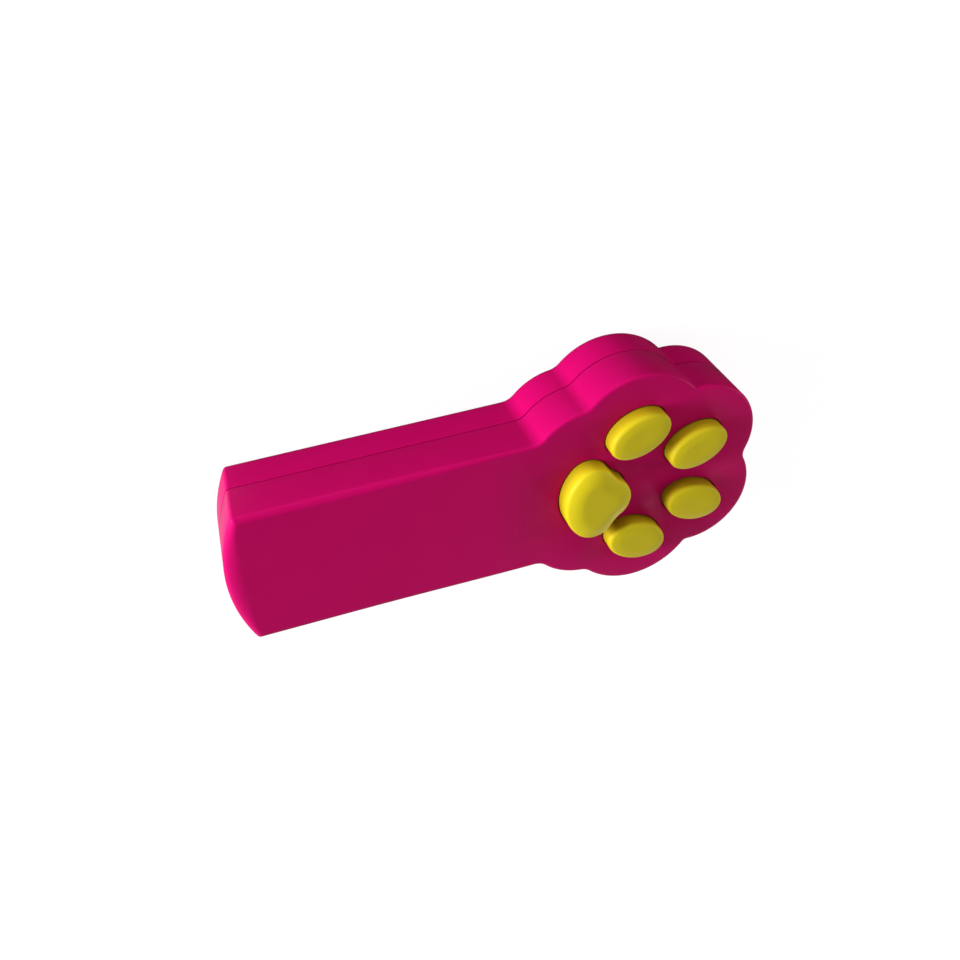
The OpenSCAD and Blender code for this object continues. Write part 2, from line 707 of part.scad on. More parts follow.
rings_per_turn = 8;
function coil(x0, x1, y) =
  let (n = rings_per_turn * spring_turns, a = x0 + spring_wire_r + slip, b = x1 - spring_wire_r - slip)
  [for (i = [0 : n]) let (t = 360 * i / rings_per_turn)
    [a + (b - a) * i / n, y + spring_r * cos(t), cell_z + spring_r * sin(t)]];
coil_left = coil(bay_x1 - spring_len, bay_x1, cell_y);
coil_right = coil(bay_x0, bay_x0 + spring_len, -cell_y);
// Least gap between one turn of the wire and the next
coil_gap = min([for (i = [0 : len(coil_left) - 1], j = [i + rings_per_turn / 2 : len(coil_left) - 1])
  norm(coil_left[j] - coil_left[i])]) - 2 * spring_wire_r;
echo(coil_gap = coil_gap);
module cell_spring_left() {
  color(steel) tube(coil_left, spring_wire_r, [1, 0, 0]);
}
module cell_spring_right() {
  color(steel) tube(coil_right, spring_wire_r, [1, 0, 0]);
}

tab_half = 1.5;
tab_h = 1.2;
module bridge_contact() {
  color(steel) bar(bay_x0 - plate_t, bay_x0, cell_y + plate_half, ledge_top, plate_top);
}
// A front contact plate with its solder tab
module front_contact(side) {
  y = side * cell_y;
  back = bay_x1 + plate_t;
  color(steel) {
    block([bay_x1, y - plate_half, ledge_top], [back, y + plate_half, plate_top]);
    block([bay_x1, y - tab_half, plate_top - eps], [back, y + tab_half, plate_top + tab_h]);
  }
}
module negative_contact() {
  front_contact(1);
}
module positive_contact() {
  front_contact(-1);
}

// Laser: a brass barrel with the diode behind, the lens and its nut in front

bore_r = barrel_r - barrel_wall;
fill_r = bore_r - slip;
nut_t = 1.5;
nut_x = barrel_x1 - nut_t;
lens_x = nut_x - slip - lens_t;
flange_t = 1.2;
can_r = 1.65;
can_len = 2.2;
pin_r = 0.2;
driver_t = 0.8;
diode_x = barrel_x0 + eps;
module laser_barrel() {
  color(brass) turned([[barrel_x0, bore_r], [barrel_x0, barrel_r], [barrel_x1 - barrel_wall / 2, barrel_r],
    [barrel_x1, barrel_r - barrel_wall / 2], [barrel_x1, bore_r]]);
}
module laser_diode() {
  pin_z = driver_t / 2 + pin_r + slip;
  color(brass) {
    turned([[diode_x, 0], [diode_x, fill_r], [diode_x + flange_t, fill_r], [diode_x + flange_t, can_r],
      [diode_x + flange_t + can_len, can_r], [diode_x + flange_t + can_len, 0]]);
    for (up = [1, -1])
      rod(barrel_x0 - driver_len / 3, diode_x + flange_t / 2, pin_r, 0, parting_z + up * pin_z);
  }
}
// Flat behind, domed in front
module collimating_lens() {
  dome = 0.45 * lens_t;
  steps = 6;
  color("lightblue") turned(concat(
    [[lens_x, 0], [lens_x, fill_r]],
    [for (i = [0 : steps - 1]) let (a = 90 * i / steps)
      [lens_x + lens_t - dome + dome * sin(a), fill_r * cos(a)]],
    [[lens_x + lens_t, 0]]));
}
module lens_nut() {
  hole_r = 0.6 * bore_r;
  color(brass) turned([[nut_x, hole_r], [nut_x, fill_r], [barrel_x1 - seat_gap, fill_r],
    [barrel_x1 - seat_gap, hole_r + 0.3], [barrel_x1 - 0.3 - seat_gap, hole_r]]);
}
module driver_board() {
  half_t = driver_t / 2;
  color(green) bar(barrel_x0 - driver_len, barrel_x0, bore_r, parting_z - half_t, parting_z + half_t);
}
module front_window() {
  color("lightblue") rod(window_x, window_x + window_t, window_r);
}

// Wires that arch from one solder joint to the next

arch_steps = 10;
// Each end stands square on its joint for one diameter of the wire
function arch(a, b, rise) = concat([a],
  [for (i = [0 : arch_steps]) let (t = 180 * i / arch_steps)
    a + (b - a) * (1 - cos(t)) / 2 + [0, 0, 2 * wire_r + rise * sin(t)]],
  [b]);
module laser_leads() {
  lead_y = bore_r / 2;
  color("firebrick") for (side = [1, -1])
    tube(arch([slot_x - lead_inset, side * lead_y, board_top],
      [barrel_x0 - 0.7 * driver_len, side * lead_y, parting_z + driver_t / 2], lead_rise), wire_r, [0, 1, 0]);
}
module battery_leads() {
  color("firebrick") for (side = [1, -1])
    tube(arch([bay_x1 + plate_t / 2, side * cell_y, plate_top + tab_h],
      [board_x[0] + lead_inset, side * cell_y, board_top], lead_rise), wire_r, [0, 1, 0]);
}

front_shell();
rear_shell();
battery_door();
door_screws();
shell_screws();
palm_key();
toe_key(0);  // toe_key_1
toe_key(1);  // toe_key_2
toe_key(2);  // toe_key_3
toe_key(3);  // toe_key_4
circuit_board();
board_screws();
switch(palm_middle);  // switch_palm
switch(toe_place[0]);  // switch_toe_1
switch(toe_place[1]);  // switch_toe_2
switch(toe_place[2]);  // switch_toe_3
switch(toe_place[3]);  // switch_toe_4
plunger(palm_middle);  // plunger_palm
plunger(toe_place[0]);  // plunger_toe_1
plunger(toe_place[1]);  // plunger_toe_2
plunger(toe_place[2]);  // plunger_toe_3
plunger(toe_place[3]);  // plunger_toe_4
cell_left();
cell_right();
cell_spring_left();
cell_spring_right();
bridge_contact();
negative_contact();
positive_contact();
laser_barrel();
laser_diode();
collimating_lens();
lens_nut();
driver_board();
front_window();
laser_leads();
battery_leads();
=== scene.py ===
import bmesh
import bpy
import numpy as np
from mathutils import Matrix, Vector
from mathutils.geometry import delaunay_2d_cdt


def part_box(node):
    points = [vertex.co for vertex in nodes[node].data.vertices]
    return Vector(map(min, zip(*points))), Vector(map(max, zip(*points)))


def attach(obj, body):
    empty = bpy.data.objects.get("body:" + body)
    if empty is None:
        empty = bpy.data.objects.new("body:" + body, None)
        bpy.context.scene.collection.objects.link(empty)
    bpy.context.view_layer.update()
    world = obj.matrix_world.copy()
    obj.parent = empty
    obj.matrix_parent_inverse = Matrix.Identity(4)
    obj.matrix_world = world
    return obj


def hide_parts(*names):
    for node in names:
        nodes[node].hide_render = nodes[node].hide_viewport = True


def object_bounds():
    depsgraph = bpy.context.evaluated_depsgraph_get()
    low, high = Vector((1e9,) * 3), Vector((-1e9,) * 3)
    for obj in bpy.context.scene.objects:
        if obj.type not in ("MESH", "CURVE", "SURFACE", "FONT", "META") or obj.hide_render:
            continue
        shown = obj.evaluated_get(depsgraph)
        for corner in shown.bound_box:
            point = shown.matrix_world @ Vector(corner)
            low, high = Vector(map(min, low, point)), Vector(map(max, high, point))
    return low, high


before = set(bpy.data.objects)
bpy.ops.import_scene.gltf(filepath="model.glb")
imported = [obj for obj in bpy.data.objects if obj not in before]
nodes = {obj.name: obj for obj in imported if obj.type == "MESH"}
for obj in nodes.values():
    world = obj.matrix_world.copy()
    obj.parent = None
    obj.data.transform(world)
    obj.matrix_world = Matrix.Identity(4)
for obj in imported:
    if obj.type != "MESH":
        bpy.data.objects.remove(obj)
cad_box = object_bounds()

# Camera
# A close hand-held view from above the handle's end, rolled a little, as the pointer lies on its back
# with its keys up. Places are in millimetres and become metres where an object is made.
mm = 0.001
eye = np.array([-59.1, 153.8, 197.4])
sight = np.array([0.2319, -0.6090, -0.7586])
up_in_frame = np.array([0.2357, 0.7917, -0.5635])
lens_mm, sensor_mm = 42.16, 36.0

camera = bpy.data.objects.new("camera", bpy.data.cameras.new("camera"))
camera.data.lens = lens_mm
camera.data.sensor_width = sensor_mm
right_in_frame = np.cross(sight, up_in_frame)
camera.matrix_world = Matrix(np.column_stack([
    np.append(right_in_frame, 0), np.append(up_in_frame, 0), np.append(-sight, 0), np.append(eye * mm, 1)]))
bpy.context.scene.collection.objects.link(camera)
bpy.context.scene.camera = camera

# Rear shell
# The lower half of the casing, injection moulded in pink ABS with a fine satin texture. It carries the
# battery bay with its ledge for the door, posts for the board and bosses for the screws of the casing.
parting_z = 9.5
case_t = 20.0
wall = 2.0
back_edge_r, back_lead = 2.4, 0.1
half_w = 16.5
handle_len = 79.9
tail_x = cad_box[0][0] / mm
paw_x = tail_x + handle_len
end_bulge, end_corner_r, least_corner_r, end_lean = 3.8, 1.0, 0.3, 1.4
handle_edge_r = 1.6
lobe_at = np.array([[0.0, 7.3], [11.6, 11.6], [25.8, 7.4]]) + [paw_x, 0]
lobe_r = [14.8, 16.1, 13.9]
neck_r, notch_12_r, notch_23_r, notch_front_r = 3.9, 4.1, 1.3, 3.7


def heading(a, b):
    """Angle in degrees of the way from point a to point b."""
    return np.degrees(np.arctan2(b[1] - a[1], b[0] - a[0]))


def arc(centre, radius, start, stop, count):
    """Points on a circle at evenly spaced angles from start to stop, in degrees."""
    angle = np.radians(np.linspace(start, stop, count))
    return np.asarray(centre) + radius * np.stack([np.cos(angle), np.sin(angle)], 1)


def hollow(a, ra, b, rb, r):
    """Centre of a circle of radius r that touches circles a and b from outside, left of the way a to b."""
    span = np.hypot(*(b - a))
    way = (b - a) / span
    along = ((ra + r) ** 2 - (rb + r) ** 2 + span ** 2) / (2 * span)
    return a + along * way + np.sqrt((ra + r) ** 2 - along ** 2) * np.array([-way[1], way[0]])


end_r = (half_w ** 2 + end_bulge ** 2) / (2 * end_bulge)
end_c = np.array([tail_x + end_lean + end_r, 0.0])
neck_y = half_w + neck_r
neck_c = np.array([paw_x - np.sqrt((lobe_r[0] + neck_r) ** 2 - (neck_y - lobe_at[0][1]) ** 2), neck_y])
notch_12 = hollow(lobe_at[0], lobe_r[0], lobe_at[1], lobe_r[1], notch_12_r)
notch_23 = hollow(lobe_at[1], lobe_r[1], lobe_at[2], lobe_r[2], notch_23_r)
front_c = np.array([lobe_at[2][0] + np.sqrt((lobe_r[2] + notch_front_r) ** 2 - lobe_at[2][1] ** 2), 0.0])
# Each stretch of the outline ahead of the straight side: centre, radius, +1 where it bulges or -1 where
# it is hollow, the angles it runs between, and its number of points
paw_arcs = [
    (neck_c, neck_r, -1, -90, heading(neck_c, lobe_at[0]), 18),
    (lobe_at[0], lobe_r[0], 1, heading(lobe_at[0], neck_c), heading(lobe_at[0], notch_12), 28),
    (notch_12, notch_12_r, -1, heading(notch_12, lobe_at[0]), heading(notch_12, lobe_at[1]), 18),
    (lobe_at[1], lobe_r[1], 1, heading(lobe_at[1], notch_12), heading(lobe_at[1], notch_23), 64),
    (notch_23, notch_23_r, -1, heading(notch_23, lobe_at[1]), heading(notch_23, lobe_at[2]), 18),
    (lobe_at[2], lobe_r[2], 1, heading(lobe_at[2], notch_23), heading(lobe_at[2], front_c), 150),
    (front_c, notch_front_r, -1, heading(front_c, lobe_at[2]), 180, 24)]


def paw_half(inset):
    """The plan from the neck to the front notch, every radius less the inset or, in a hollow, more."""
    stretches = [arc(c, r - side * inset, a, b, n) for c, r, side, a, b, n in paw_arcs]
    return np.concatenate(stretches[:1] + [stretch[1:] for stretch in stretches[1:]])


def end_half(inset):
    """The handle's end and corner on the back, for one inset at each of its points.
    The corner keeps a least radius, so that it stays a corner however far it is set in."""
    r = np.maximum(end_corner_r - inset, least_corner_r)
    y = half_w - inset - r
    x = end_c[0] - np.sqrt((end_r - inset - r) ** 2 - y ** 2)
    turn = np.arctan2(y, x - end_c[0])
    on_end = np.arange(len(inset)) < end_points
    share = np.concatenate([np.linspace(0, 1, end_points), np.linspace(0, 1, corner_points + 1)[1:]])
    angle = np.where(on_end, np.pi + (turn - np.pi) * share, turn + (np.pi / 2 - turn) * share)
    radius = np.where(on_end, end_r - inset, r)
    return np.stack([np.where(on_end, end_c[0], x) + radius * np.cos(angle),
                     np.where(on_end, 0, y) + radius * np.sin(angle)], 1)


end_points, corner_points, side_points = 40, 16, 60
corner_room = 0.3
bend = end_half(np.zeros(end_points + corner_points))
corner_x = bend[-1, 0]
paw_plan = paw_half(0)
paw_inward = paw_half(1) - paw_plan
# The side's points begin ahead of the corner even where the corner is set in the most
deepest_corner = end_half(np.full(len(bend), back_edge_r + back_lead))[-1, 0]
side_x = np.linspace(deepest_corner + corner_room, paw_plan[0, 0], side_points + 1)[:-1]
ahead = np.concatenate([np.stack([side_x, np.full(side_points, half_w)], 1), paw_plan])
ahead_inward = np.concatenate([np.tile([0.0, -1.0], (side_points, 1)), paw_inward])
half_x = np.concatenate([bend, ahead])[:, 0]


def mirrored(half):
    """A half outline from axis to axis, clockwise, closed by its mirror image and turned anticlockwise."""
    return np.concatenate([half, (half * [1, -1, 1][:half.shape[1]])[-2:0:-1]])[::-1]


def casing_ring(inset, z):
    """The casing's outline set in and lifted, by one value or by one for each point of its half.
    The handle's end leans outwards as it rises, up to where the edge of the face begins."""
    inset = np.broadcast_to(inset, len(half_x))
    z = np.broadcast_to(z, len(half_x))
    plan = np.concatenate([end_half(inset[:len(bend)]), ahead + ahead_inward * inset[len(bend):, None]])
    rise = np.clip(z / (case_t - handle_edge_r), 0, 1)
    plan[:, 0] -= end_lean * np.where(np.arange(len(plan)) < len(bend), rise, 0)
    return mirrored(np.column_stack([plan, z]))


def level(loop, z):
    """A plan loop lifted to height z."""
    return np.column_stack([loop, np.broadcast_to(z, len(loop))])


def quarter(radius, steps):
    """Inset and rise along a quarter round, from the wall at (0, 0) to the flat at (radius, radius)."""
    angle = np.linspace(0, np.pi / 2, steps + 1)
    return np.stack([radius * (1 - np.cos(angle)), radius * np.sin(angle)], 1)


def circle(centre, radius, count=48):
    """A full circle, anticlockwise."""
    return arc(centre, radius, 0, 360, count + 1)[:-1]


def small_circle(centre, radius):
    """A circle with as many points as holes and bosses have."""
    return circle(centre, radius, 24)


class Skin:
    """Collects surfaces as vertices and faces, and makes one welded mesh object of them in metres.
    Points nearer than the least distance become one, and edges bent by more than the crease stay sharp."""
    least = 1e-7
    crease = np.radians(35)

    def __init__(self):
        self.points, self.faces, self.count = [], [], 0
        self.axes = [0, 1, 2]

    def add(self, points, faces):
        """Points and the faces that join them, with the points' axes put in the skin's order."""
        self.points.append(points[:, self.axes])
        self.faces += (np.asarray(faces) + self.count).tolist()
        self.count += len(points)

    def strip(self, loops):
        """Quads between each closed loop and the next; anticlockwise loops going up face outwards."""
        n = len(loops[0])
        k, i = np.meshgrid(np.arange(len(loops) - 1), np.arange(n), indexing="ij")
        j = (i + 1) % n
        quads = np.stack([k * n + i, k * n + j, k * n + n + j, k * n + n + i], -1)
        self.add(np.concatenate(loops), quads.reshape(-1, 4))

    def flat(self, loops, z, facing):
        """A level face inside the first loop and outside the others, from a constrained triangulation.
        A triangle stays where its middle lies within an odd number of loops."""
        flat = np.concatenate(loops)
        starts = np.cumsum([0] + [len(loop) for loop in loops])
        edges = np.concatenate([
            np.stack([np.arange(a, b), np.roll(np.arange(a, b), -1)], 1) for a, b in zip(starts, starts[1:])])
        found = delaunay_2d_cdt([Vector(p) for p in flat.tolist()], edges.tolist(), [], 0, self.least)
        points = np.array([tuple(p) for p in found[0]])
        triangles = np.array(found[2])
        middle = points[triangles].mean(1)
        a, b = flat[edges[:, 0]], flat[edges[:, 1]]
        spans = (a[:, 1] > middle[:, None, 1]) != (b[:, 1] > middle[:, None, 1])
        slope = (b - a)[:, 0] / np.where(b[:, 1] == a[:, 1], 1, (b - a)[:, 1])
        crossed = spans & (middle[:, None, 0] < a[:, 0] + slope * (middle[:, None, 1] - a[:, 1]))
        inside = triangles[crossed.sum(1) % 2 == 1]
        self.add(level(points, z), inside if facing > 0 else inside[:, ::-1])

    def turned(self, centre, profile):
        """A surface turned about an upright axis, through pairs of radius and height."""
        self.strip([level(small_circle(centre, r), z) for r, z in profile])

    def slab(self, outline, x, thickness):
        """A closed slab about a place along X, from its anticlockwise outline in Y and Z."""
        x0, x1 = x - thickness / 2, x + thickness / 2
        self.axes = [2, 0, 1]
        self.strip([level(outline, x0), level(outline, x1)])
        self.flat([outline], x0, -1)
        self.flat([outline], x1, 1)
        self.axes = [0, 1, 2]

    def block(self, low, high):
        """A closed box between two corners."""
        corner = np.array(np.meshgrid([0, 1], [0, 1], [0, 1], indexing="ij")).reshape(3, 8).T
        sides = [[0, 1, 3, 2], [4, 6, 7, 5], [0, 4, 5, 1], [2, 3, 7, 6], [0, 2, 6, 4], [1, 5, 7, 3]]
        self.add(np.asarray(low) + corner * (np.asarray(high) - np.asarray(low)), sides)

    def make(self, name, body, slot, material, *nodes):
        """The mesh object, which rides on a body and stands in for the nodes."""
        mesh = bpy.data.meshes.new(name)
        mesh.from_pydata((np.concatenate(self.points) * mm).tolist(), [], self.faces)
        shape = bmesh.new()
        shape.from_mesh(mesh)
        bmesh.ops.remove_doubles(shape, verts=shape.verts, dist=self.least)
        shape.to_mesh(mesh)
        shape.free()
        mesh.shade_smooth()
        mesh.set_sharp_from_angle(angle=self.crease)
        mesh.materials.append(material)
        piece = bpy.data.objects.new(name, mesh)
        bpy.context.scene.collection.objects.link(piece)
        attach(piece, body)
        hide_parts(*nodes)


class Wire:
    """A socket in a material's node tree, so that shading values combine like numbers."""

    def __init__(self, tree, socket=None):
        self.tree, self.socket = tree, socket

    def node(self, kind, settings, inputs, output=0):
        """Any node: its settings are set first, then its inputs get values or links."""
        made = self.tree.nodes.new(kind)
        for key, value in settings.items():
            setattr(made, key, value)
        for key, value in inputs.items():
            self.feed(made.inputs[key], value)
        return Wire(self.tree, made.outputs[output])

    def feed(self, socket, value):
        """Links a wire to an input, or sets the input to a plain value."""
        if isinstance(value, Wire):
            self.tree.links.new(value.socket, socket)
        else:
            socket.default_value = value

    def math(self, operation, *values):
        """A math node on wires and numbers."""
        return self.node("ShaderNodeMath", {"operation": operation}, dict(enumerate(values)))

    def __add__(self, other):
        return self.math("ADD", self, other)

    def __sub__(self, other):
        return self.math("SUBTRACT", self, other)

    def __rsub__(self, other):
        return self.math("SUBTRACT", other, self)

    def __mul__(self, other):
        return self.math("MULTIPLY", self, other)

    def __gt__(self, other):
        return self.math("GREATER_THAN", self, other)

    __radd__, __rmul__ = __add__, __mul__

    def place(self):
        """The place in object space, in metres."""
        return self.node("ShaderNodeTexCoord", {}, {}, "Object")

    def along(self, axis):
        """The place along an axis of object space, in millimetres."""
        return self.node("ShaderNodeSeparateXYZ", {}, {0: self.place()}, axis) * (1 / mm)

    def noise(self, size, detail=2.0):
        """Noise between 0 and 1 whose features are about size millimetres wide, in object space."""
        return self.node("ShaderNodeTexNoise", {}, {
            "Vector": self.place(), "Scale": 1 / (size * mm), "Detail": detail})

    def ramp(self, value, low, high):
        """Goes smoothly from 0 where the value is low to 1 where it is high."""
        return self.node("ShaderNodeMapRange", {"interpolation_type": "SMOOTHSTEP"}, {
            "Value": value, "From Min": low, "From Max": high})

    def mix(self, factor, a, b):
        """Colour a where the factor is 0 and colour b where it is 1."""
        pick = {6: a if isinstance(a, Wire) else (*a, 1), 7: b if isinstance(b, Wire) else (*b, 1)}
        return self.node("ShaderNodeMix", {"data_type": "RGBA", "clamp_factor": True}, {0: factor, **pick}, 2)

    def patches(self, low, high, size):
        """A colour that wanders between two shades over patches of the given size."""
        return self.mix(self.noise(size, 3.0), low, high)

    def bump(self, height, depth):
        """A normal from a height between 0 and 1 that stands for depth millimetres."""
        return self.node("ShaderNodeBump", {}, {"Height": height, "Distance": depth * mm, "Strength": 1.0})


def material(name, colour, roughness, normal, **constants):
    """A Principled material. Colour, roughness and normal are functions that take a start wire."""
    made = bpy.data.materials.new(name)
    made.use_nodes = True
    start = Wire(made.node_tree)
    shader = made.node_tree.nodes["Principled BSDF"]
    start.feed(shader.inputs["Base Color"], colour(start))
    start.feed(shader.inputs["Roughness"], roughness(start))
    start.feed(shader.inputs["Normal"], normal(start))
    for key, value in constants.items():
        shader.inputs[key.replace("_", " ")].default_value = value
    return made


def mottled(low, high, size):
    """A colour in patches of two shades."""
    return lambda start: start.patches(low, high, size)


def wavering(middle, spread, size):
    """A roughness that wanders round a middle value."""
    return lambda start: middle + spread * (start.noise(size, 3.0) - 0.5)


def duller_upwards(least, spread, size, climb):
    """A roughness that wanders and grows with every millimetre above the parting plane."""
    return lambda start: least + spread * start.noise(size, 3.0) + climb * start.math(
        "MAXIMUM", start.along("Z") - parting_z, 0)


def grained(size, depth):
    """A fine moulded grain."""
    return lambda start: start.bump(start.noise(size), depth)


pink_abs = material(
    "casing_pink", mottled((0.60, 0.002, 0.115), (0.64, 0.003, 0.123), 9.0),
    duller_upwards(0.12, 0.06, 5.0, 0.03), grained(0.5, 0.0015),
    Specular_IOR_Level=0.15, Specular_Tint=(1.0, 0.1, 0.5, 1.0))

slit = 0.17
parting_r = 0.06
lip_h, lip_t, lip_bevel = 1.2, 0.9, 0.2
floor_z = 3.3
ledge_z = 1.9
door_inset, door_gap = 3.0, 0.25
door_x1 = 7.0
door_corner_r, door_tail_r = 2.0, 2.0
rim_r = 0.2
aperture_r = 2.0
mouth_x = 49.8
door_screw_at = [(-52.7, 0.0), (4.4, 0.0)]
shell_screw_at = [(10.8, 11.5), (10.8, -11.5), (54.4, 5.6), (54.4, -5.6)]
board_post_at = [(x, side * y) for x, y in (lobe_at[0] + [-3.3, 7.7], lobe_at[1] + [8.1, 5.4])
                 for side in (1, -1)]
slip = 0.05
root = 0.3
boss_r = 2.2
barrel_box = np.array(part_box("laser_barrel")) / mm
barrel_r = (barrel_box[1, 2] - barrel_box[0, 2]) / 2
saddle_half, saddle_t = barrel_r + 1.2, 2.0
saddle_x = barrel_box[0, 0] + np.array([0.25, 0.75]) * (barrel_box[1, 0] - barrel_box[0, 0])


def mouth(loop):
    """Half height of the round laser opening over each point of a loop, 0 away from the front notch."""
    bow = np.sqrt(np.clip(aperture_r ** 2 - loop[:, 1] ** 2, 0, None))
    return np.where(loop[:, 0] > mouth_x, bow, 0)


def door_outline(offset):
    """The battery door's plan set out by an offset: a bowed end, straight sides, round corners."""
    hw = half_w - door_inset
    bow_r = end_r - door_inset
    tail_y = hw - door_tail_r
    tail = np.array([end_c[0] - np.sqrt((bow_r - door_tail_r) ** 2 - tail_y ** 2), tail_y])
    front = np.array([door_x1 - door_corner_r, hw - door_corner_r])
    turn = heading(end_c, tail)
    return mirrored(np.concatenate([
        arc(end_c, bow_r + offset, 180, turn, 24),
        arc(tail, door_tail_r + offset, turn, 90, 14)[1:],
        arc(front, door_corner_r + offset, 90, 0, 14),
        [[door_x1 + offset, 0.0]]]))


def rounded_box(x0, x1, hw, r):
    """A rectangle about the axis with four round corners."""
    return np.concatenate([
        arc((x1 - r, hw - r), r, 0, 90, 8), arc((x0 + r, hw - r), r, 90, 180, 8),
        arc((x0 + r, r - hw), r, 180, 270, 8), arc((x1 - r, r - hw), r, 270, 360, 8)])


round_low = quarter(back_edge_r, 10)[::-1]
round_parting = quarter(parting_r, 3)
rim = quarter(rim_r, 3)
rear_top = parting_z - slit
lip_in, lip_top, wall_lead = wall - lip_t, parting_z + lip_h, 0.4
rear_profile = np.concatenate([
    [[back_edge_r + back_lead, 0]],
    np.stack([round_low[:, 0], back_edge_r - round_low[:, 1]], 1),
    [[0, back_edge_r + wall_lead]],
    np.stack([round_parting[:, 0], rear_top - parting_r + round_parting[:, 1]], 1),
    [[lip_in, rear_top], [lip_in, lip_top - lip_bevel], [lip_in + lip_bevel, lip_top], [wall, lip_top],
     [wall, floor_z]]])
bay_faces, bay_lip, bay_half, bay_corner_r = (-49.4, -0.4), 0.8, 11.8, 0.6
bay = rounded_box(bay_faces[0] + bay_lip, bay_faces[1] - bay_lip, bay_half, bay_corner_r)
rear = Skin()
rings = [casing_ring(inset, z) for inset, z in rear_profile]
for ring in rings:
    ring[:, 2] = np.minimum(ring[:, 2], parting_z - mouth(ring))
rear.strip(rings)
well_r, well_z, screw_hole_r, door_hole_r = 2.2, 3.0, 1.25, 1.4
rear.flat([rings[0][:, :2], door_outline(door_gap + rim_r)]
          + [circle(p, well_r + rim_r) for p in shell_screw_at], 0, -1)
rear.strip([level(door_outline(door_gap), ledge_z)] + [
    level(door_outline(door_gap + q), rim_r - h) for q, h in rim])
rear.flat([door_outline(door_gap), bay] + [small_circle(p, door_hole_r) for p in door_screw_at], ledge_z, -1)
rear.strip([level(bay, floor_z), level(bay, ledge_z)])
# Bosses and posts, each turned from its foot on the floor over its top and down its hole
base_r, base_z = 3.1, 4.1
boss_top = parting_z - slip
door_boss_r, door_boss_z = 2.6, parting_z - 1
board_z, pilot_r, pilot_z = 8.9, 0.95, 3.9
for p in shell_screw_at:
    rear.strip([level(circle(p, well_r), well_z)] + [level(circle(p, well_r + q), rim_r - h) for q, h in rim])
    rear.flat([circle(p, well_r), small_circle(p, screw_hole_r)], well_z, -1)
    rear.turned(p, [(base_r, floor_z), (base_r, base_z), (boss_r, base_z), (boss_r, boss_top),
                    (screw_hole_r, boss_top), (screw_hole_r, well_z)])
for p in door_screw_at:
    rear.turned(p, [(door_boss_r, floor_z), (door_boss_r, door_boss_z), (door_hole_r, door_boss_z),
                    (door_hole_r, ledge_z)])
for p in board_post_at:
    rear.turned(p, [(boss_r, floor_z), (boss_r, board_z), (pilot_r, board_z), (pilot_r, pilot_z),
                    (0, pilot_z)])
feet = [small_circle(p, r) for r, places in (
    (base_r, shell_screw_at), (door_boss_r, door_screw_at), (boss_r, board_post_at)) for p in places]
rear.flat([rings[-1][:, :2], bay] + feet, floor_z, 1)
# Ribs at both ends of the bay with slots for the contacts, and saddles under the laser, rooted in the floor
root_z = floor_z - root
cell_y, plate_half, contact_top = 6.2, 4.5, 12.0
slot, slot_rib, rib_reach, plate_hold = 0.5, 1.0, 14.3, 0.5
hold_in, hold_out = cell_y + plate_hold - plate_half, cell_y + plate_half - plate_hold
for face, out in zip(bay_faces, (-1, 1)):
    rib = sorted([face + out * slot, face + out * (slot + slot_rib)])
    lip = sorted([face - out * bay_lip, face])
    rear.block((rib[0], -rib_reach, root_z), (rib[1], rib_reach, contact_top))
    for y0, y1 in [(-rib_reach, -hold_out), (-hold_in, hold_in), (hold_out, rib_reach)]:
        rear.block((lip[0], y0, root_z), (lip[1], y1, contact_top))
scoop_points = 25
saddle_low = np.concatenate([
    [[-saddle_half, root_z], [saddle_half, root_z], [saddle_half, boss_top]],
    arc((0, boss_top), barrel_r + slip, 360, 180, scoop_points), [[-saddle_half, boss_top]]])
for x in saddle_x:
    rear.slab(saddle_low, x, saddle_t)
rear.make("rear_half", "housing", "casing_pink", pink_abs, "rear_shell")


def dress(material_made, *names):
    """Gives a material to pieces that keep the shape they were built with."""
    for name in names:
        nodes[name].data.materials.clear()
        nodes[name].data.materials.append(material_made)


band_x = -11.4
jacket = material(
    "cell_jacket",
    lambda start: start.mix(start.along("X") > band_x, (0.018, 0.018, 0.020), (0.52, 0.25, 0.07)),
    wavering(0.34, 0.08, 4.0), grained(1.2, 0.004))
nickel = material(
    "contact_nickel", mottled((0.58, 0.55, 0.49), (0.68, 0.65, 0.60), 1.5), wavering(0.30, 0.16, 0.8),
    grained(0.3, 0.004), Metallic=1.0)
dress(jacket, "cell_left", "cell_right")
dress(nickel, "cell_spring_left", "cell_spring_right")
dress(nickel, "bridge_contact", "negative_contact", "positive_contact")

# Circuit board
# A glass-fibre board under the keys, green with solder mask, with five tact switches soldered to it and
# held down on posts by four self-tapping screws. Red insulated leads join it to the cells and the laser.
tracks_per_metre, track_lines, track_edge = 90.0, 45.0, 0.55


def tracked(bare, covered):
    """One colour for the bare mask and one over copper tracks, which run square round scattered centres."""
    def colour(start):
        spread = start.node("ShaderNodeTexVoronoi", {"distance": "CHEBYCHEV"}, {
            "Vector": start.place(), "Scale": tracks_per_metre})
        return start.mix(start.math("SINE", spread * track_lines) > track_edge, bare, covered)
    return colour


